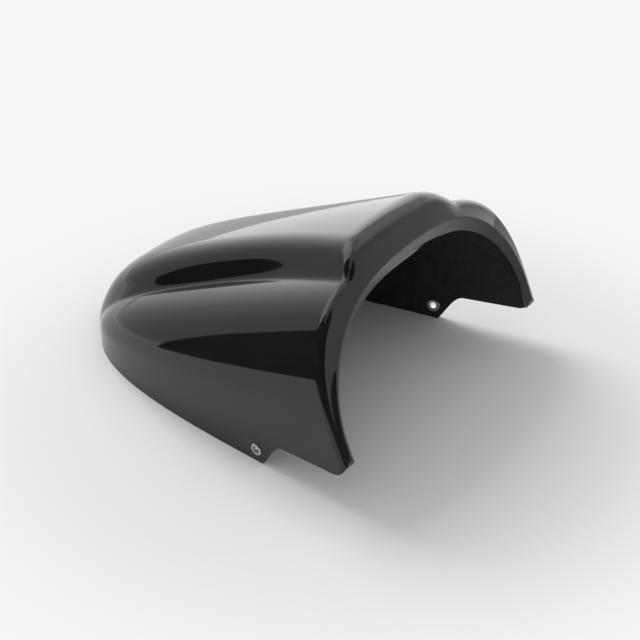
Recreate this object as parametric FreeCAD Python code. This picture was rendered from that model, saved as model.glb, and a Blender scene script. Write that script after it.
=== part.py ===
import FreeCAD, Part
import math
import os

# Motorcycle seat cowl: one thin moulded shell that caps the rear seat, held by a bolt
# through a flanged metal eyelet low on each side.
# While the shell is built, X is measured forward from the tip of the tail, Y to the
# rider's left and Z up from the surface that the lower edge stands on.
# At the end the model moves so that its origin is in the middle of the floor under it.

# Shell
wall = 3.0
foot_drop = 1.5             # degrees that the skin runs on below the floor before trimming

# Mouth: the skin ends at a leaning plane that meets the floor this far from the tail
mouth_foot = 321.3
mouth_lean = 22.2           # degrees from upright
mouth_station = 300.0       # the widths and heights "at the mouth" are taken here

# Lower body: half widths near the tail, in the middle and at the mouth
body_tail = 13.3
body_bluntness = 2.8        # 2 is a round tail in plan, more is squarer
body_near_tail_half = 68.9
body_middle_half = 100.7
body_mouth_half = 133.9
body_tail_height = 33.0
body_mouth_height = 150.5
body_tail_fullness = 11.8    # how squarely the tail turns up from its upright wall
widest_level = 0.443         # share of the height at which the sides stand widest
tuck = 0.034                 # share of the width lost again down to the floor
side_fullness_mouth = 3.92
side_fullness_tail = 3.1
shoulder_fullness = 2.0

# Raised centre hump
hump_tail = 1.4
hump_bluntness = 4.36
hump_rise = 0.77            # under 1 the back of the hump arches
hump_near_tail_half = 44.9
hump_middle_half = 49.1
hump_mouth_half = 71.3
hump_tail_height = 35.5
hump_mouth_height = 166.2
hump_tail_fullness = 14.9
hump_crown_tail = 0.0019    # drop per squared millimetre from the middle
hump_crown_mouth = 0.001
hump_edge_tail = 21.6       # softness of the hump's upper edges
hump_edge_mouth = 13.7
valley_blend = 4.0          # softness of the hollow between hump and shoulder

# Front flange: a band leans in from the fold, then a crease and a narrow lip
fold_reach_top = 4.5        # how far from the fold's corner its rounding starts
fold_reach_side = 3.0
band_width_side = 11.1      # how far in from the fold the crease starts, at the foot
crease_height = 130.0
crease_widest = 50.0
crease_side_fullness = 2.6
crease_top_fullness = 2.0
crease_forward_top = 6.5
crease_forward_side = 3.0
lip_width_top = 13.0
lip_width_side = 6.0
lip_turn = 33.0             # degrees that the lip turns back from the mouth plane

# Lower edge: tabs at the eyelets, then a raised edge up to the front corners
tab_front = 231.5
tab_step_length = 20.0
front_edge_height = 22.5
front_edge_rise = 2.5
front_corner_x = 308.5
front_corner_radius = 13.0

# Eyelets
eyelet_x = 227.0
eyelet_height = 10.5
eyelet_bore_radius = 2.65
eyelet_barrel_radius = 3.4
eyelet_outer_flange_radius = 4.6
eyelet_inner_flange_radius = 5.4
eyelet_flange_thickness = 0.8
pad_rise = 0.25             # the flat pads stand this far out of both faces of the wall
eyelet_pad_radius = 8.0     # flat spot on both faces of the wall that the flanges clamp

# How finely the skin is sectioned
skin_rows = 18
fold_rows = 4
side_columns = 12
hump_columns = 8
first_turn = 9.0            # degrees above the side where the skin starts


def share(x, start, end):
    return max((x - start) / (end - start), 1e-9)


def width_from_three(x, tail, bluntness, near_tail, middle, mouth):
    # A power of the width is a cubic in the distance from the tail, so the tail is round,
    # and the curve goes through the half widths wanted at a tenth, a third and the mouth.
    u = min(share(x, tail, mouth_station), 1.2)
    stations = (0.1, 0.35, 1.0)
    wanted = (near_tail ** bluntness, middle ** bluntness, mouth ** bluntness)
    slopes = [value / station for value, station in zip(wanted, stations)]
    first = (slopes[1] - slopes[0]) / (stations[1] - stations[0])
    second = ((slopes[2] - slopes[1]) / (stations[2] - stations[1]) - first) / (stations[2] - stations[0])
    slope = slopes[0] + (u - stations[0]) * (first + (u - stations[1]) * second)
    return max(u * slope, 1e-6) ** (1.0 / bluntness)


def tail_round(u, fullness):
    gap = max(1.0 - u, 0.0)
    return math.sqrt(max(1.0 - gap ** fullness, 1e-9))


def between(start, end, u):
    return start + (end - start) * u


def in_lower_body(x, y, z):
    if x < body_tail:
        return False
    half = width_from_three(
        x, body_tail, body_bluntness, body_near_tail_half, body_middle_half, body_mouth_half
    )
    u = share(x, body_tail, mouth_station)
    height = between(body_tail_height, body_mouth_height, u) * tail_round(u, body_tail_fullness)
    widest = widest_level * height
    fullness = between(side_fullness_tail, side_fullness_mouth, min(u, 1.1))
    if z > widest:
        over = (z - widest) / (height - widest)
        return (abs(y) / half) ** fullness + over ** shoulder_fullness < 1.0
    under = 1.0 - z / widest
    return abs(y) < half * (1.0 - tuck * min(u, 1.15) ** 2 * under ** 2)


def in_hump(x, y, z):
    if x < hump_tail:
        return False
    half = width_from_three(
        x, hump_tail, hump_bluntness, hump_near_tail_half, hump_middle_half, hump_mouth_half
    )
    u = share(x, hump_tail, mouth_station)
    height = between(hump_tail_height, hump_mouth_height, u ** hump_rise)
    height = height * tail_round(u, hump_tail_fullness)
    crown = between(hump_crown_tail, hump_crown_mouth, min(u, 1.1))
    side_room = half - abs(y)
    top_room = height - crown * y * y - z
    edge = between(hump_edge_tail, hump_edge_mouth, min(u, 1.1))
    mix = min(max(0.5 + 0.5 * (top_room - side_room) / edge, 0.0), 1.0)
    room = between(top_room, side_room, mix) - edge * mix * (1.0 - mix)
    return room > 0.0


# The skin is sampled along straight rays from the foot of the mouth plane.
# lift swings a ray up from the floor towards the mouth plane, turn carries it from the
# right side (0) over the middle (90 degrees) to the left side.

centre = FreeCAD.Vector(mouth_foot, 0, 0)
lean = math.radians(mouth_lean)
forward = FreeCAD.Vector(math.cos(lean), 0, math.sin(lean))
mouth_lift = 0.5 * math.pi - lean
middle_turn = 0.5 * math.pi


def direction(lift, turn):
    return FreeCAD.Vector(
        -math.sin(turn) * math.cos(lift),
        -math.cos(turn),
        math.sin(turn) * math.sin(lift),
    )


def reach(inside, way):
    near = 5.0
    far = 2.0 * mouth_foot
    for _ in range(30):
        middle = 0.5 * (near + far)
        point = centre + way * middle
        if inside(point.x, point.y, point.z):
            near = middle
        else:
            far = middle
    return near


def skin_reach(lift, turn):
    way = direction(lift, turn)
    body = reach(in_lower_body, way)
    hump = reach(in_hump, way)
    mix = min(max(0.5 + 0.5 * (body - hump) / valley_blend, 0.0), 1.0)
    return between(hump, body, mix) + valley_blend * mix * (1.0 - mix)


def skin_point(lift, turn):
    return centre + direction(lift, turn) * skin_reach(lift, turn)


def skin_normal(lift, turn):
    step = 0.002
    up = skin_point(lift + step, turn) - skin_point(lift - step, turn)
    along = skin_point(lift, turn + step) - skin_point(lift, turn - step)
    return up.cross(along).normalize()


def by_place(at_side, at_top, turn):
    # Sizes of the flange grow from the sides of the mouth to the top of it.
    return between(at_side, at_top, math.sin(turn) ** 3)


def fold_reach(turn):
    return by_place(fold_reach_side, fold_reach_top, turn)


def last_lift(turn):
    room = fold_reach(turn) / (skin_reach(mouth_lift, turn) * math.sin(turn))
    return mouth_lift - math.asin(room)


def lift_of_row(row, turn):
    start = -math.radians(foot_drop)
    progress = (row / skin_rows) ** 1.4
    return between(start, last_lift(turn), progress)


# Columns: one column of every row follows the valley beside the hump

def valley_turn(row):
    low = math.radians(45.0)
    high = math.radians(84.0)
    for _ in range(16):
        turn = 0.5 * (low + high)
        way = direction(lift_of_row(row, turn), turn)
        if reach(in_lower_body, way) > reach(in_hump, way):
            low = turn
        else:
            high = turn
    return low


def turns_of_row(row):
    valley = valley_turn(row)
    start = math.radians(first_turn)
    right = []
    for i in range(side_columns):
        right.append(between(start, valley, 1.0 - (1.0 - i / side_columns) ** 1.4))
    for i in range(hump_columns):
        right.append(between(valley, middle_turn, (i / hump_columns) ** 1.3))
    left = [math.pi - turn for turn in reversed(right)]
    return right + [middle_turn] + left


# Front flange at one turn: the fold's corner, the crease and the end of the lip

foot_half = width_from_three(
    mouth_foot, body_tail, body_bluntness, body_near_tail_half, body_middle_half, body_mouth_half
)
crease_half = foot_half - band_width_side


def in_crease(x, y, z):
    up = z / math.cos(lean) - crease_widest
    top = crease_height / math.cos(lean) - crease_widest
    over = max(up / top, 0.0) ** crease_top_fullness
    return (abs(y) / crease_half) ** crease_side_fullness + over < 1.0


def fold_corner(turn):
    return skin_point(mouth_lift, turn)


def crease_point(turn):
    way = direction(mouth_lift, turn)
    step_forward = by_place(crease_forward_side, crease_forward_top, turn)
    return centre + way * reach(in_crease, way) + forward * step_forward


def along_curve(curve_point, turn):
    step = 0.01
    return (curve_point(turn + step) - curve_point(turn - step)).normalize()


def flange(turn):
    corner = fold_corner(turn)
    crease = crease_point(turn)
    band_way = (crease - corner).normalize()
    band_normal = band_way.cross(along_curve(crease_point, turn)).normalize()
    inward = along_curve(crease_point, turn).cross(forward).normalize()
    back = math.radians(lip_turn)
    lip_way = inward * math.cos(back) - forward * math.sin(back)
    lip_normal = lip_way.cross(along_curve(crease_point, turn)).normalize()
    lip_width = by_place(lip_width_side, lip_width_top, turn)
    return corner, crease, crease + lip_way * lip_width, band_way, band_normal, lip_normal


def inner_corner(point, first_normal, second_normal):
    both = first_normal + second_normal
    return point - both * (wall / (1.0 + first_normal.dot(second_normal)))


# Rows of points, outside and inside, from the foot of the skin to the edge of the lip

skin_outside = []
skin_inside = []
for row in range(skin_rows + 1):
    outside = []
    inside = []
    for turn in turns_of_row(row):
        lift = lift_of_row(row, turn)
        point = skin_point(lift, turn)
        outside.append(point)
        inside.append(point - skin_normal(lift, turn) * wall)
    skin_outside.append(outside)
    skin_inside.append(inside)

fold_outside = [[] for _ in range(fold_rows + 1)]
fold_inside = [[] for _ in range(fold_rows + 1)]
crease_outside = []
crease_inside = []
lip_outside = []
lip_inside = []


def bend(start, corner, end, progress):
    return (
        start * (1.0 - progress) ** 2
        + corner * 2.0 * progress * (1.0 - progress)
        + end * progress ** 2
    )


for column, turn in enumerate(turns_of_row(skin_rows)):
    corner, crease, lip_end, band_way, band_normal, lip_normal = flange(turn)
    start = skin_outside[-1][column]
    start_inside = skin_inside[-1][column]
    start_normal = (start - start_inside).normalize()
    end = corner + band_way * fold_reach(turn)
    end_inside = end - band_normal * wall
    corner_inside = inner_corner(corner, start_normal, band_normal)
    for row in range(fold_rows + 1):
        progress = row / fold_rows
        fold_outside[row].append(bend(start, corner, end, progress))
        fold_inside[row].append(bend(start_inside, corner_inside, end_inside, progress))
    crease_outside.append(crease)
    crease_inside.append(inner_corner(crease, band_normal, lip_normal))
    lip_outside.append(lip_end)
    lip_inside.append(lip_end - lip_normal * wall)

# Sheets through the rows

middle_row = skin_outside[skin_rows // 2]
marks = [0.0]
for before, after in zip(middle_row, middle_row[1:]):
    marks.append(marks[-1] + before.distanceToPoint(after))
marks = [mark / marks[-1] for mark in marks]


def row_curve(points):
    curve = Part.BSplineCurve()
    curve.interpolate(Points=points, Parameters=marks)
    return curve.toShape()


def sheet(rows):
    return Part.makeLoft([Part.Wire([row_curve(points)]) for points in rows], False, False).Face1


def same_spot(first, second):
    return first.distanceToPoint(second) < 0.01


def end_edge(face, start, end):
    for edge in face.Edges:
        first = edge.Vertexes[0].Point
        last = edge.Vertexes[-1].Point
        if same_spot(first, start) and same_spot(last, end):
            return edge
        if same_spot(first, end) and same_spot(last, start):
            return edge
    raise ValueError("the sheet has no such end")


faces = []
sheet_pairs = [
    (skin_outside, skin_inside),
    (fold_outside, fold_inside),
    ([fold_outside[-1], crease_outside], [fold_inside[-1], crease_inside]),
    ([crease_outside, lip_outside], [crease_inside, lip_inside]),
]
for outside, inside in sheet_pairs:
    outer = sheet(outside)
    inner = sheet(inside)
    faces += [outer, inner]
    for column in (0, -1):
        outer_end = end_edge(outer, outside[0][column], outside[-1][column])
        inner_end = end_edge(inner, inside[0][column], inside[-1][column])
        faces.append(Part.makeRuledSurface(outer_end, inner_end))
faces.append(Part.makeRuledSurface(row_curve(skin_outside[0]), row_curve(skin_inside[0])))
faces.append(Part.makeRuledSurface(row_curve(lip_outside), row_curve(lip_inside)))

shell = Part.makeShell(faces)
shell.sewShape()
cowl = Part.Solid(shell)

# Lower edge: everything under this line, seen from the side, is cut away

front_edge = front_edge_height + front_edge_rise
tab_back = tab_front + tab_step_length
corner_start = front_corner_x - front_corner_radius
far_out = mouth_foot


def side_point(x, z):
    return FreeCAD.Vector(x, -far_out, z)


half_step = side_point(0.5 * (tab_front + tab_back), 0.5 * front_edge_height)
step = Part.BSplineCurve()
step.interpolate(
    Points=[side_point(tab_front, 0), half_step, side_point(tab_back, front_edge_height)],
    InitialTangent=FreeCAD.Vector(0.35, 0, 1),
    FinalTangent=FreeCAD.Vector(1, 0, 0.1),
)
corner_middle = side_point(
    front_corner_x - front_corner_radius * (1.0 - math.sin(math.radians(45))),
    front_edge + front_corner_radius * (1.0 - math.sin(math.radians(45))),
)
front_corner = Part.Arc(
    side_point(corner_start, front_edge),
    corner_middle,
    side_point(front_corner_x, front_edge + front_corner_radius),
)
outline = [
    Part.makeLine(side_point(-far_out, -far_out), side_point(-far_out, 0)),
    Part.makeLine(side_point(-far_out, 0), side_point(tab_front, 0)),
    step.toShape(),
    Part.makeLine(side_point(tab_back, front_edge_height), side_point(corner_start, front_edge)),
    front_corner.toShape(),
    Part.makeLine(
        side_point(front_corner_x, front_edge + front_corner_radius),
        side_point(2 * far_out, front_edge + front_corner_radius),
    ),
    Part.makeLine(
        side_point(2 * far_out, front_edge + front_corner_radius),
        side_point(2 * far_out, -far_out),
    ),
    Part.makeLine(side_point(2 * far_out, -far_out), side_point(-far_out, -far_out)),
]
trim = Part.Face(Part.Wire(outline)).extrude(FreeCAD.Vector(0, 2 * far_out, 0))
cowl = cowl.cut(trim).Solids[0]

# Eyelets: each wall gets a small flat pad, a round hole, and a flanged tube set in it

def spot_on_side(side):
    low = math.radians(30.0)
    high = math.radians(89.0)
    height = eyelet_height
    back = mouth_foot - eyelet_x
    lift = math.atan2(height, back)
    for _ in range(30):
        turn = 0.5 * (low + high)
        point = skin_point(lift, turn)
        if mouth_foot - point.x < back:
            low = turn
        else:
            high = turn
    if side > 0:
        turn = math.pi - turn
    return skin_point(lift, turn), skin_normal(lift, turn)


def disc(spot, axis, start, end, radius):
    return Part.makeCylinder(radius, end - start, spot + axis * start, axis)


eyelets = []
for side in (-1, 1):
    spot, axis = spot_on_side(side)
    outer_face = pad_rise
    inner_face = -wall - pad_rise
    outer_end = outer_face + eyelet_flange_thickness
    inner_end = inner_face - eyelet_flange_thickness
    cowl = cowl.fuse(disc(spot, axis, inner_face, outer_face, eyelet_pad_radius))
    cowl = cowl.cut(disc(spot, axis, 2 * inner_face, 2 * wall, eyelet_barrel_radius))
    eyelet = disc(spot, axis, inner_end, outer_end, eyelet_barrel_radius)
    eyelet = eyelet.fuse(disc(spot, axis, outer_face, outer_end, eyelet_outer_flange_radius))
    eyelet = eyelet.fuse(disc(spot, axis, inner_end, inner_face, eyelet_inner_flange_radius))
    eyelet = eyelet.cut(disc(spot, axis, 2 * inner_end, 2 * wall, eyelet_bore_radius))
    eyelets.append(eyelet.removeSplitter().Solids[0])

# The model moves to its own origin: the middle of the floor under the whole cowl

cowl = cowl.Solids[0]
box = cowl.optimalBoundingBox(False, False)
shift = FreeCAD.Vector(-box.Center.x, 0, 0)
os.makedirs("parts", exist_ok=True)
for name, solid in (
    ("cowl_shell", cowl),
    ("right_eyelet", eyelets[0]),
    ("left_eyelet", eyelets[1]),
):
    solid.translate(shift)
    solid.exportStep("parts/" + name + ".step")
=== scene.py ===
import bmesh
import bpy
import math
import numpy as np
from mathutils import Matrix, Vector


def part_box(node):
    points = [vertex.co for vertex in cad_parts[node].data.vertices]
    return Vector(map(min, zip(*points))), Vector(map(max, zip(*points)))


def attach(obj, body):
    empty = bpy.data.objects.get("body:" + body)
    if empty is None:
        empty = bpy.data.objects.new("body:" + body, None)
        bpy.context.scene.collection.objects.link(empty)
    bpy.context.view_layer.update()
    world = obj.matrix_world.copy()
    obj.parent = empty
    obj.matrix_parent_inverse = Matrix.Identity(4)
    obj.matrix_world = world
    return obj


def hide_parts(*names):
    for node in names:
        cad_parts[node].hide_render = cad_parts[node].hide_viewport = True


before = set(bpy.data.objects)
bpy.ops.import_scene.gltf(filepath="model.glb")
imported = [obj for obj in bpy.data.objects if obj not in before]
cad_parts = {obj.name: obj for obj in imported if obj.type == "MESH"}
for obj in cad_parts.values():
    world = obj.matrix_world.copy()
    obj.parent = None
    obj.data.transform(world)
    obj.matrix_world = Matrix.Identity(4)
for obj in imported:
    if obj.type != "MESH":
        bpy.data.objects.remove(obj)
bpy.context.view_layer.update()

# COWL SHELL
# One thin shell laid up in a mould, with glossy black paint outside and the bare moulding
# inside. Skin, raised hump and front flange are one surface. Sizes are in millimetres.

wall = 3.0
mouth_foot = 321.3
mouth_lean = math.radians(22.2)
mouth_station = 300.0

body_tail, body_bluntness = 13.3, 2.8
body_halves = (68.9, 100.7, 133.9)
body_heights = (33.0, 150.5)
body_fullness = 11.8
widest_level, tuck = 0.443, 0.034
side_fullness = (3.1, 3.92)
shoulder_fullness = 2.0

hump_tail, hump_bluntness = 1.4, 4.36
hump_halves = (46.5, 51.8, 75.4)
hump_heights, hump_rise = (35.5, 166.2), 0.77
hump_fullness = 14.9
hump_crown = (0.0019, 0.001)
hump_edge = (33.0, 27.0)
valley_blend = 12.0

fold_reach = (3.5, 6.0)
hump_fold_reach = 8.0
crease_half, crease_height, crease_widest = 126.5, 130.0, 50.0
crease_side_fullness, crease_top_fullness = 2.6, 2.0
crease_forward = (3.0, 6.5)
lip_width = (6.0, 13.0)
lip_turn = math.radians(33.0)

tab_front, tab_step = 231.5, 20.0
front_edge_heights = (22.5, 25.0)
front_corner_x, front_corner_radius = 308.5, 13.0

eyelet_x, eyelet_height = 227.0, 10.5
pad_rise, pad_radius = 0.25, 8.0

mouth_lift = 0.5 * math.pi - mouth_lean
forward = np.array([math.cos(mouth_lean), 0.0, math.sin(mouth_lean)])
pivot = np.array([mouth_foot, 0.0, 0.0])


def between(pair, u):
    return pair[0] + (pair[1] - pair[0]) * u


def half_width(x, tail, bluntness, halves):
    u = np.clip((x - tail) / (mouth_station - tail), 1e-9, 1.2)
    stations = (0.1, 0.35, 1.0)
    slopes = [half ** bluntness / at for half, at in zip(halves, stations)]
    first = (slopes[1] - slopes[0]) / (stations[1] - stations[0])
    last = (slopes[2] - slopes[1]) / (stations[2] - stations[1])
    second = (last - first) / (stations[2] - stations[0])
    slope = slopes[0] + (u - stations[0]) * (first + (u - stations[1]) * second)
    return np.maximum(u * slope, 1e-6) ** (1.0 / bluntness)


def tail_round(u, fullness):
    return np.sqrt(np.maximum(1.0 - np.clip(1.0 - u, 0.0, 1.0) ** fullness, 1e-9))


def in_body(x, y, z):
    half = half_width(x, body_tail, body_bluntness, body_halves)
    u = np.maximum((x - body_tail) / (mouth_station - body_tail), 1e-9)
    height = between(body_heights, u) * tail_round(u, body_fullness)
    widest = widest_level * height
    fullness = between(side_fullness, np.minimum(u, 1.1))
    over = np.clip((z - widest) / (height - widest), 0.0, None)
    under = np.clip(1.0 - z / widest, 0.0, None)
    upper = (np.abs(y) / half) ** fullness + over ** shoulder_fullness < 1.0
    lower = np.abs(y) < half * (1.0 - tuck * np.minimum(u, 1.15) ** 2 * under ** 2)
    return np.where(z > widest, upper, lower) & (x > body_tail)


def in_hump(x, y, z):
    half = half_width(x, hump_tail, hump_bluntness, hump_halves)
    u = np.maximum((x - hump_tail) / (mouth_station - hump_tail), 1e-9)
    height = between(hump_heights, u ** hump_rise) * tail_round(u, hump_fullness)
    capped = np.minimum(u, 1.1)
    edge = between(hump_edge, capped)
    side_room = half - np.abs(y)
    top_room = height - between(hump_crown, capped) * y * y - z
    mix = np.clip(0.5 + 0.5 * (top_room - side_room) / edge, 0.0, 1.0)
    room = top_room * (1.0 - mix) + side_room * mix - edge * mix * (1.0 - mix)
    return (room > 0.0) & (x > hump_tail)


def ray(lift, turn):
    # lift swings up from the floor about the foot of the mouth, turn goes right to left
    lift, turn = np.broadcast_arrays(lift, turn)
    return np.stack([-np.sin(turn) * np.cos(lift), -np.cos(turn), np.sin(turn) * np.sin(lift)], -1)


def reach(inside, way):
    near = np.full(way.shape[:-1], 5.0)
    far = np.full(way.shape[:-1], 2.0 * mouth_foot)
    for _ in range(32):
        middle = 0.5 * (near + far)
        spot = pivot + way * middle[..., None]
        hit = inside(spot[..., 0], spot[..., 1], spot[..., 2])
        near = np.where(hit, middle, near)
        far = np.where(hit, far, middle)
    return near


def skin_reach(lift, turn):
    way = ray(lift, turn)
    body, hump = reach(in_body, way), reach(in_hump, way)
    mix = np.clip(0.5 + 0.5 * (body - hump) / valley_blend, 0.0, 1.0)
    return hump * (1.0 - mix) + body * mix + valley_blend * mix * (1.0 - mix)


def skin_point(lift, turn):
    return pivot + ray(lift, turn) * skin_reach(lift, turn)[..., None]


def unit(v):
    return v / np.linalg.norm(v, axis=-1, keepdims=True)


def skin_normal(lift, turn, step=0.002):
    up = skin_point(lift + step, turn) - skin_point(lift - step, turn)
    along = skin_point(lift, turn + step) - skin_point(lift, turn - step)
    return unit(np.cross(up, along))


def by_place(pair, turn):
    return between(pair, np.sin(turn) ** 3)


def fold_round(turn):
    # the fold is tight down the sides and opens to a broad round over the hump
    over_hump = np.clip((np.sin(turn) - 0.9) / 0.085, 0.0, 1.0)
    return by_place(fold_reach, turn) + hump_fold_reach * over_hump ** 2 * (3.0 - 2.0 * over_hump)


def last_lift(turn):
    return mouth_lift - np.arcsin(fold_round(turn) / (skin_reach(mouth_lift, turn) * np.sin(turn)))


# Every row of the skin has one column in the valley beside the hump, and the columns
# crowd towards it, so the hollow and the hump's edge stay crisp.

skin_rows, side_columns, hump_columns = 104, 74, 54
side_crowding, hump_crowding, mouth_crowding = 1.35, 1.25, 1.2
first_turn = math.radians(9.0)
floor_lift = -math.radians(1.5)


def row_turns(progress):
    low, high = math.radians(45.0), math.radians(84.0)
    for _ in range(18):
        turn = 0.5 * (low + high)
        lift = floor_lift + (last_lift(turn) - floor_lift) * progress
        way = ray(lift, turn)
        if reach(in_body, way) > reach(in_hump, way):
            low = turn
        else:
            high = turn
    still = 1.0 - np.arange(side_columns) / side_columns
    side = first_turn + (low - first_turn) * (1.0 - still ** side_crowding)
    top = low + (0.5 * math.pi - low) * (np.arange(hump_columns) / hump_columns) ** hump_crowding
    right = np.concatenate([side, top])
    return np.concatenate([right, [0.5 * math.pi], math.pi - right[::-1]])


progress = (np.arange(skin_rows + 1) / skin_rows) ** mouth_crowding
turns = np.array([row_turns(p) for p in progress])
lifts = floor_lift + (last_lift(turns) - floor_lift) * progress[:, None]
skin_out = skin_point(lifts, turns)
skin_in = skin_out - skin_normal(lifts, turns) * wall


def in_crease(x, y, z):
    up = z / math.cos(mouth_lean) - crease_widest
    top = crease_height / math.cos(mouth_lean) - crease_widest
    over = np.maximum(up / top, 0.0) ** crease_top_fullness
    return (np.abs(y) / crease_half) ** crease_side_fullness + over < 1.0


def crease_point(turn):
    way = ray(mouth_lift, turn)
    ahead = forward * by_place(crease_forward, turn)[..., None]
    return pivot + way * reach(in_crease, way)[..., None] + ahead


mouth_turns = turns[-1]
corner = skin_point(mouth_lift, mouth_turns)
crease = crease_point(mouth_turns)
crease_way = unit(crease_point(mouth_turns + 0.01) - crease_point(mouth_turns - 0.01))
band_way = unit(crease - corner)
band_normal = unit(np.cross(band_way, crease_way))
inward = unit(np.cross(crease_way, forward))
lip_way = inward * math.cos(lip_turn) - forward * math.sin(lip_turn)
lip_normal = unit(np.cross(lip_way, crease_way))
lip_end = crease + lip_way * by_place(lip_width, mouth_turns)[:, None]
band_start = corner + band_way * fold_round(mouth_turns)[:, None]
skin_end_normal = unit(skin_out[-1] - skin_in[-1])


def mitre(point, first, second):
    return point - (first + second) * (wall / (1.0 + (first * second).sum(-1, keepdims=True)))


def bend(start, middle, end, count):
    steps = np.linspace(0.0, 1.0, count + 1)[1:]
    return [start * (1 - t) ** 2 + middle * 2 * t * (1 - t) + end * t ** 2 for t in steps]


def straight(start, end, count):
    steps = np.linspace(0.0, 1.0, count + 1)[1:]
    return [start + (end - start) * t for t in steps]


def fading(start, end, count):
    # the step beside the hump dies out within the first part of the band
    even = start.copy()
    for _ in range(step_smoothing):
        even[1:-1] = 0.25 * even[:-2] + 0.5 * even[1:-1] + 0.25 * even[2:]
    steps = np.linspace(0.0, 1.0, count + 1)[1:]
    return [even * (1.0 - t) + end * t + (start - even) * (1.0 - t) ** 3 for t in steps]


step_smoothing = 60
crease_soft, edge_soft = 1.1, 0.7
crease_in = mitre(crease, band_normal, lip_normal)
lip_edge_in = lip_end - lip_normal * wall
flange_out = bend(skin_out[-1], corner, band_start, 9)
flange_out += fading(band_start, crease - band_way * crease_soft, 10)
flange_out += bend(crease - band_way * crease_soft, crease, crease + lip_way * crease_soft, 4)
flange_out += straight(crease + lip_way * crease_soft, lip_end - lip_way * edge_soft, 5)
flange_out += bend(lip_end - lip_way * edge_soft, lip_end, lip_end - lip_normal * edge_soft, 4)
flange_out += straight(lip_end - lip_normal * edge_soft, lip_edge_in + lip_normal * edge_soft, 2)
flange_out += bend(lip_edge_in + lip_normal * edge_soft, lip_edge_in, lip_edge_in - lip_way * edge_soft, 4)
paint_rows = skin_rows + len(flange_out)
band_end_in = band_start - band_normal * wall
flange_in = straight(lip_edge_in - lip_way * edge_soft, crease_in, 4)
flange_in += fading(band_end_in, crease_in, 7)[-2::-1] + [band_end_in]
flange_in += bend(band_end_in, mitre(corner, skin_end_normal, band_normal), skin_in[-1], 5)
rows = np.array(list(skin_out) + flange_out + flange_in + list(skin_in[-2::-1]))


def eyelet_spot(side):
    low, high = math.radians(30.0), math.radians(89.0)
    lift = math.atan2(eyelet_height, mouth_foot - eyelet_x)
    for _ in range(30):
        turn = 0.5 * (low + high)
        if skin_point(lift, turn)[0] > eyelet_x:
            low = turn
        else:
            high = turn
    turn = turn if side < 0 else math.pi - turn
    return skin_point(lift, turn), skin_normal(lift, turn)


# The wall is pressed flat round each eyelet, so its two flanges bear evenly.

pad_margin, pad_blend, pad_depth = 2.0, 2.5, 3.0
eyelet_places = [eyelet_spot(side) for side in (-1, 1)]
pad_levels = (
    (slice(0, skin_rows + 1), pad_rise),
    (slice(-skin_rows, None), -wall - pad_rise),
)
for spot, axis in eyelet_places:
    for face, level in pad_levels:
        away = rows[face] - spot
        height = away @ axis
        radius = np.linalg.norm(away - height[..., None] * axis, axis=-1)
        share = np.clip((pad_radius + pad_margin - radius) / pad_blend, 0.0, 1.0)
        share = share * (np.abs(height - level) < pad_depth)
        share = share * share * (3.0 - 2.0 * share)
        rows[face] += ((level - height) * share)[..., None] * axis

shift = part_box("cowl_shell")[0].x * 1000.0 - rows[:, :, 0].min()
row_count, column_count = rows.shape[:2]
cowl_mesh = bpy.data.meshes.new("cowl_shell")
index = np.arange(row_count * column_count).reshape(row_count, column_count)
after = np.roll(index, -1, axis=0)
quads = np.stack([index[:, :-1], index[:, 1:], after[:, 1:], after[:, :-1]], -1).reshape(-1, 4)
ends = [index[:, 0].tolist(), index[::-1, -1].tolist()]
points = (rows.reshape(-1, 3) + [shift, 0.0, 0.0]) / 1000.0
cowl_mesh.from_pydata(points.tolist(), [], quads.tolist() + ends)
quad_row = np.repeat(np.arange(row_count), column_count - 1)
finish_index = np.where(quad_row < paint_rows, 0, 1).tolist() + [1, 1]
cowl_mesh.polygons.foreach_set("material_index", finish_index)
cowl = bpy.data.objects.new("cowl_shell_moulding", cowl_mesh)
bpy.context.scene.collection.objects.link(cowl)


def add_prism(form, outline, start, along, finish):
    # outline is a closed ring of points in order, along carries it to the far end
    near = [form.verts.new((point + start) / 1000.0) for point in outline]
    far = [form.verts.new((point + start + along) / 1000.0) for point in outline]
    faces = [form.faces.new(near), form.faces.new(far[::-1])]
    for here in range(len(near)):
        there = (here + 1) % len(near)
        faces.append(form.faces.new((near[there], near[here], far[here], far[there])))
    for face in faces:
        face.material_index = finish


# The lower edge is trimmed after moulding: flat under the tail, a tab at each eyelet,
# then a step up to the raised edge and the round front corner.

trim_behind, trim_ahead, trim_below, trim_beside = -60.0, 420.0, -60.0, 220.0
corner_start = front_corner_x - front_corner_radius
edge_line = [(trim_behind, trim_below), (trim_behind, 0.0), (tab_front, 0.0)]
for part in np.linspace(0.0, 1.0, 15)[1:]:
    ease = part * part * (3.0 - 2.0 * part)
    lean = 0.35 * part + 0.65 * part * part * (1.6 - 0.6 * part)
    edge_line.append((tab_front + tab_step * lean, front_edge_heights[0] * ease))
edge_line.append((corner_start, front_edge_heights[1]))
for quarter in np.linspace(0.0, 0.5 * math.pi, 13)[1:]:
    edge_line.append((
        corner_start + front_corner_radius * math.sin(quarter),
        front_edge_heights[1] + front_corner_radius * (1.0 - math.cos(quarter)),
    ))
edge_line += [
    (trim_ahead, front_edge_heights[1] + front_corner_radius),
    (trim_ahead, trim_below),
]
trimmer = bmesh.new()
outline = [np.array([x + shift, 0.0, z]) for x, z in edge_line]
from_right = np.array([0.0, -trim_beside, 0.0])
to_left = np.array([0.0, 2.0 * trim_beside, 0.0])
add_prism(trimmer, outline, from_right, to_left, 2)
hole_radius, hole_back, hole_depth = 3.45, 8.0, 14.0
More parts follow.
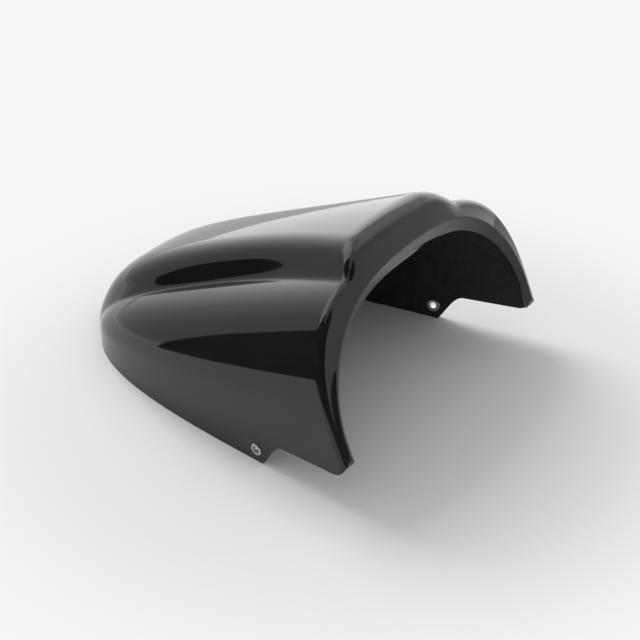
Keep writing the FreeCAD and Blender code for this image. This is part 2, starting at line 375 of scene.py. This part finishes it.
for spot, axis in eyelet_places:
    side_way = unit(np.cross(axis, [0.0, 0.0, 1.0]))
    up_way = np.cross(side_way, axis)
    ring = [
        spot + [shift, 0.0, 0.0] + hole_radius * (side_way * math.cos(a) + up_way * math.sin(a))
        for a in np.linspace(0.0, 2.0 * math.pi, 49)[:-1]
    ]
    add_prism(trimmer, ring, -hole_back * axis, hole_depth * axis, 2)
bmesh.ops.recalc_face_normals(trimmer, faces=trimmer.faces)
trimmer_mesh = bpy.data.meshes.new("trimmer")
trimmer.to_mesh(trimmer_mesh)
trimmer.free()
trimmer_object = bpy.data.objects.new("trimmer", trimmer_mesh)
bpy.context.scene.collection.objects.link(trimmer_object)


def outward(mesh):
    form = bmesh.new()
    form.from_mesh(mesh)
    bmesh.ops.triangulate(form, faces=[face for face in form.faces if len(face.verts) > 4])
    bmesh.ops.recalc_face_normals(form, faces=form.faces)
    if form.calc_volume(signed=True) < 0.0:
        bmesh.ops.reverse_faces(form, faces=form.faces)
    form.to_mesh(mesh)
    form.free()


outward(cowl_mesh)
outward(trimmer_mesh)


def new_finish(name):
    finish = bpy.data.materials.new(name)
    finish.use_nodes = True
    return finish, finish.node_tree.nodes["Principled BSDF"]


def add_noise(shader, scale, detail, roughness=0.5):
    tree = shader.id_data
    place = tree.nodes.new("ShaderNodeTexCoord")
    noise = tree.nodes.new("ShaderNodeTexNoise")
    noise.inputs["Scale"].default_value = scale
    noise.inputs["Detail"].default_value = detail
    noise.inputs["Roughness"].default_value = roughness
    tree.links.new(place.outputs["Object"], noise.inputs["Vector"])
    return noise


def vary(shader, socket, noise, low, high, start=0.35, end=0.65):
    # the noise moves the socket between two colours, or two greys where it is a plain number
    tree = shader.id_data
    ramp = tree.nodes.new("ShaderNodeValToRGB")
    for stop, position, colour in zip(ramp.color_ramp.elements, (start, end), (low, high)):
        stop.position = position
        stop.color = (*colour, 1.0)
    tree.links.new(noise.outputs["Fac"], ramp.inputs["Fac"])
    tree.links.new(ramp.outputs["Color"], shader.inputs[socket])


def grey(level):
    return (level, level, level)


def roughen(shader, noise, depth):
    tree = shader.id_data
    bump = tree.nodes.new("ShaderNodeBump")
    bump.inputs["Strength"].default_value = 1.0
    bump.inputs["Distance"].default_value = depth
    tree.links.new(noise.outputs["Fac"], bump.inputs["Height"])
    tree.links.new(bump.outputs["Normal"], shader.inputs["Normal"])


gloss_black, shader = new_finish("gloss_black_paint")
vary(shader, "Base Color", add_noise(shader, 9.0, 3.0), (0.0075, 0.0072, 0.0075), (0.0115, 0.011, 0.011))
vary(shader, "Roughness", add_noise(shader, 22.0, 4.0), grey(0.035), grey(0.06))
roughen(shader, add_noise(shader, 260.0, 1.0), 0.00001)

bare_moulding, shader = new_finish("bare_moulding_inside")
resin = add_noise(shader, 70.0, 6.0, 0.7)
vary(shader, "Base Color", resin, (0.006, 0.0055, 0.005), (0.02, 0.019, 0.017))
vary(shader, "Roughness", resin, grey(0.38), grey(0.62))
roughen(shader, resin, 0.0006)

cut_edge, shader = new_finish("trimmed_edge")
grain = add_noise(shader, 420.0, 3.0)
vary(shader, "Base Color", grain, (0.014, 0.013, 0.012), (0.03, 0.028, 0.026))
vary(shader, "Roughness", grain, grey(0.32), grey(0.5))
roughen(shader, grain, 0.0001)

for mesh in (cowl_mesh, trimmer_mesh):
    for finish in (gloss_black, bare_moulding, cut_edge):
        mesh.materials.append(finish)

trim_step = cowl.modifiers.new("trim", "BOOLEAN")
trim_step.operation = "DIFFERENCE"
trim_step.solver = "MANIFOLD"
trim_step.object = trimmer_object
bpy.context.view_layer.update()
trimmed = bpy.data.meshes.new_from_object(cowl.evaluated_get(bpy.context.evaluated_depsgraph_get()))
cowl.modifiers.clear()
cowl.data = trimmed
bpy.data.objects.remove(trimmer_object)
trimmed.shade_smooth()
trimmed.set_sharp_from_angle(angle=math.radians(38.0))
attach(cowl, "root")
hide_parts("cowl_shell")

# EYELETS
# A bright metal tube in each hole low on the sides, its ends rolled over into two round
# flanges that grip the wall; the mounting bolt goes through it.

eyelet_bore, eyelet_barrel = 2.65, 3.4
outer_flange, inner_flange, flange_thickness = 4.6, 5.4, 0.8

bright_metal, shader = new_finish("bright_metal")
shader.inputs["Metallic"].default_value = 1.0
wear = add_noise(shader, 900.0, 4.0)
vary(shader, "Base Color", wear, (0.52, 0.5, 0.46), (0.74, 0.72, 0.68))
vary(shader, "Roughness", wear, grey(0.22), grey(0.36))
roughen(shader, wear, 0.00002)

outer_end, outer_face = pad_rise + flange_thickness, pad_rise
inner_end, inner_face = -wall - pad_rise - flange_thickness, -wall - pad_rise


def rolled_end(radius, face, end):
    # from the barrel, out along the wall, round the rim and back into the bore
    rise = end - face
    return [
        (eyelet_barrel, face),
        (radius - 0.2, face),
        (radius - 0.05, face + 0.1 * rise),
        (radius, face + 0.3 * rise),
        (radius - 0.08, face + 0.55 * rise),
        (radius - 0.3, face + 0.8 * rise),
        (radius - 0.65, face + 0.96 * rise),
        (radius - 1.0, end),
        (eyelet_bore + 0.45, face + 0.97 * rise),
        (eyelet_bore + 0.18, face + 0.85 * rise),
        (eyelet_bore + 0.04, face + 0.6 * rise),
        (eyelet_bore, face + 0.3 * rise),
    ]


profile = rolled_end(outer_flange, outer_face, outer_end)
profile += rolled_end(inner_flange, inner_face, inner_end)[::-1]
for name, (spot, axis) in zip(("right_eyelet", "left_eyelet"), eyelet_places):
    side_way = unit(np.cross(axis, [0.0, 0.0, 1.0]))
    up_way = np.cross(side_way, axis)
    form = bmesh.new()
    rings = []
    for angle in np.linspace(0.0, 2.0 * math.pi, 73)[:-1]:
        out_way = side_way * math.cos(angle) + up_way * math.sin(angle)
        ring = [spot + [shift, 0.0, 0.0] + out_way * radius + axis * along for radius, along in profile]
        rings.append([form.verts.new(point / 1000.0) for point in ring])
    for here in range(len(rings)):
        near, far = rings[here], rings[(here + 1) % len(rings)]
        for k in range(len(profile)):
            after = (k + 1) % len(profile)
            form.faces.new((near[k], near[after], far[after], far[k]))
    bmesh.ops.recalc_face_normals(form, faces=form.faces)
    if form.calc_volume(signed=True) < 0.0:
        bmesh.ops.reverse_faces(form, faces=form.faces)
    mesh = bpy.data.meshes.new(name + "_rolled")
    form.to_mesh(mesh)
    form.free()
    mesh.materials.append(bright_metal)
    mesh.shade_smooth()
    mesh.set_sharp_from_angle(angle=math.radians(50.0))
    eyelet = bpy.data.objects.new(name + "_rolled", mesh)
    bpy.context.scene.collection.objects.link(eyelet)
    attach(eyelet, "root")
    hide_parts(name)

# FLOOR, LIGHT AND CAMERA
# White paper lit from the left by one big softbox. White cards behind and to the left, and
# an unlit room on the camera's side, are seen only where the gloss mirrors them.

paper_white, far_white, mirrored_white = 0.9, 0.92, 0.8
paper_light = 0.6
shade_centre, shade_end, white_start = 0.06, 0.2, 0.36

paper = bpy.data.materials.new("white_paper")
paper.use_nodes = True
nodes, links = paper.node_tree.nodes, paper.node_tree.links
nodes.remove(nodes["Principled BSDF"])
matt = nodes.new("ShaderNodeBsdfDiffuse")
matt.inputs["Color"].default_value = (paper_white, paper_white, paper_white * 0.995, 1.0)
far_paper = nodes.new("ShaderNodeEmission")
far_paper.inputs["Color"].default_value = (*grey(far_white), 1.0)
place = nodes.new("ShaderNodeTexCoord")
centred = nodes.new("ShaderNodeMapping")
centred.inputs["Location"].default_value = (-shade_centre, 0.0, 0.0)
distance_out = nodes.new("ShaderNodeVectorMath")
distance_out.operation = "LENGTH"
fade = nodes.new("ShaderNodeMapRange")
fade.interpolation_type = "SMOOTHSTEP"
fade.inputs["From Min"].default_value = shade_end
fade.inputs["From Max"].default_value = white_start
rays = nodes.new("ShaderNodeLightPath")
seen_far = nodes.new("ShaderNodeMath")
seen_far.operation = "MULTIPLY"
paper_mix = nodes.new("ShaderNodeMixShader")
links.new(place.outputs["Object"], centred.inputs["Vector"])
links.new(centred.outputs["Vector"], distance_out.inputs[0])
links.new(distance_out.outputs["Value"], fade.inputs["Value"])
links.new(fade.outputs["Result"], seen_far.inputs[0])
links.new(rays.outputs["Is Camera Ray"], seen_far.inputs[1])
links.new(seen_far.outputs["Value"], paper_mix.inputs["Fac"])
links.new(matt.outputs["BSDF"], paper_mix.inputs[1])
links.new(far_paper.outputs["Emission"], paper_mix.inputs[2])
links.new(paper_mix.outputs["Shader"], nodes["Material Output"].inputs["Surface"])


def add_sheet(name, corners, across, material):
    # corners come row by row, with as many in a row as across says
    starts = [k for k in range(len(corners) - across) if (k + 1) % across]
    mesh = bpy.data.meshes.new(name)
    mesh.from_pydata(corners, [], [(k, k + 1, k + across + 1, k + across) for k in starts])
    mesh.materials.append(material)
    sheet = bpy.data.objects.new(name, mesh)
    bpy.context.scene.collection.objects.link(sheet)
    return sheet


floor_half = 8.0
floor_corners = [(x, y, 0.0) for y in (-floor_half, floor_half) for x in (-floor_half, floor_half)]
add_sheet("floor", floor_corners, 2, paper)

world = bpy.data.worlds.new("studio")
bpy.context.scene.world = world
world.use_nodes = True
nodes, links = world.node_tree.nodes, world.node_tree.links
background = nodes["Background"]
background.inputs["Color"].default_value = (1.0, 1.0, 1.0, 1.0)
rays = nodes.new("ShaderNodeLightPath")
mirrored = nodes.new("ShaderNodeMath")
mirrored.operation = "MAXIMUM"
links.new(rays.outputs["Is Glossy Ray"], mirrored.inputs[0])
links.new(rays.outputs["Is Transmission Ray"], mirrored.inputs[1])
in_gloss = nodes.new("ShaderNodeMapRange")
in_gloss.inputs["To Min"].default_value = paper_light
in_gloss.inputs["To Max"].default_value = mirrored_white
links.new(mirrored.outputs["Value"], in_gloss.inputs["Value"])
in_view = nodes.new("ShaderNodeMapRange")
in_view.inputs["To Max"].default_value = far_white
links.new(rays.outputs["Is Camera Ray"], in_view.inputs["Value"])
links.new(in_gloss.outputs["Result"], in_view.inputs["To Min"])
links.new(in_view.outputs["Result"], background.inputs["Strength"])

middle_height = 0.08


def around(bearing, height, distance, centre_height=middle_height):
    # bearing in degrees from the mouth's side (+X), turning left; height in degrees
    a, e = math.radians(bearing), math.radians(height)
    return (math.cos(a) * distance, math.sin(a) * distance, math.tan(e) * distance + centre_height)


softbox_side, softbox_light = 2.6, 4.95
lamp = bpy.data.lights.new("left_softbox", "AREA")
lamp.shape = "RECTANGLE"
lamp.size, lamp.size_y = softbox_side, softbox_side
lamp.energy = softbox_light * math.pi * softbox_side * softbox_side
softbox = bpy.data.objects.new("left_softbox", lamp)
softbox.location = around(166.0, 42.0, 3.2)
softbox.rotation_mode = "QUATERNION"
to_cowl = Vector((0.0, 0.0, middle_height)) - softbox.location
softbox.rotation_quaternion = to_cowl.to_track_quat("-Z", "Y")
softbox.visible_camera = False
softbox.visible_glossy = False
bpy.context.scene.collection.objects.link(softbox)


def new_glow(name):
    finish = bpy.data.materials.new(name)
    finish.use_nodes = True
    tree = finish.node_tree
    tree.nodes.remove(tree.nodes["Principled BSDF"])
    glow = tree.nodes.new("ShaderNodeEmission")
    tree.links.new(glow.outputs["Emission"], tree.nodes["Material Output"].inputs["Surface"])
    return finish, glow


def show_in_gloss_only(sheet):
    sheet.visible_camera = False
    sheet.visible_diffuse = False
    sheet.visible_shadow = False


# The white cards: how bright they are at each bearing, low down and high up.

low_cards = {40: 0.8, 62: 0.85, 75: 2.4, 90: 2.6, 120: 2.3, 139: 2.25, 153: 1.3, 168: 0.8, 184: 0.6}
high_cards = {62: 0.7, 75: 1.3, 90: 1.3, 120: 1.0, 139: 1.3, 150: 2.1}
low_end, high_start = 24.0, 32.0
card_distance, card_middle = 0.9, 0.19

card_light, glow = new_glow("card_light")
level = glow.id_data.nodes.new("ShaderNodeAttribute")
level.attribute_name = "brightness"
glow.id_data.links.new(level.outputs["Fac"], glow.inputs["Strength"])
bearings = np.arange(40.0, 213.0, 2.0)
heights = np.arange(-7.0, 72.0, 1.5)
low_level = np.interp(bearings, list(low_cards), list(low_cards.values()))
high_level = np.interp(bearings, list(high_cards), list(high_cards.values()))
rise = np.interp(heights, [low_end, high_start], [0.0, 1.0])[:, None]
brightness = low_level * (1.0 - rise) + high_level * rise
corners = [around(b, h, card_distance, card_middle) for h in heights for b in bearings]
cards = add_sheet("white_cards", corners, len(bearings), card_light)
cards.data.attributes.new("brightness", "FLOAT", "POINT").data.foreach_set("value", brightness.ravel())
show_in_gloss_only(cards)

# The unlit room: a ring of dark screens that stands where the paper ends.

room_distance, room_top, room_foot = 0.62, 74.0, -7.3
room_left_edge = [(-156, 17.0), (-153, 6.0)]
room_middle = [(bearing, room_foot) for bearing in (-150, -120, -90, -60, -30, -12)]
room_right_edge = [(0, 8.0), (12, 30.0)]

unlit_room, glow = new_glow("unlit_room")
vary(glow, "Color", add_noise(glow, 5.0, 3.0), (0.03, 0.026, 0.022), (0.11, 0.08, 0.05), 0.45, 0.6)
room_edge = room_left_edge + room_middle + room_right_edge
corners = [around(bearing, height, room_distance) for bearing, height in room_edge]
corners += [around(bearing, room_top, room_distance) for bearing, height in room_edge]
room = add_sheet("unlit_room", corners, len(room_edge), unlit_room)
show_in_gloss_only(room)

# The camera stands where the photograph was taken from.

camera = bpy.data.objects.new("camera", bpy.data.cameras.new("camera"))
camera.data.sensor_width, camera.data.lens = 36.0, 84.375
turn, lift, distance = 0.59562, 0.53497, 1.10178
back = np.array([math.sin(turn) * math.cos(lift), -math.cos(turn) * math.cos(lift), math.sin(lift)])
aim = np.array([0.0477, -0.00766, 0.05])
camera.location = aim + back * distance
camera.rotation_mode = "QUATERNION"
camera.rotation_quaternion = Vector(-back).to_track_quat("-Z", "Y")
camera.data.clip_start, camera.data.clip_end = 0.05, 50.0
bpy.context.scene.collection.objects.link(camera)
bpy.context.scene.camera = camera
bpy.context.scene.view_settings.view_transform = "Standard"
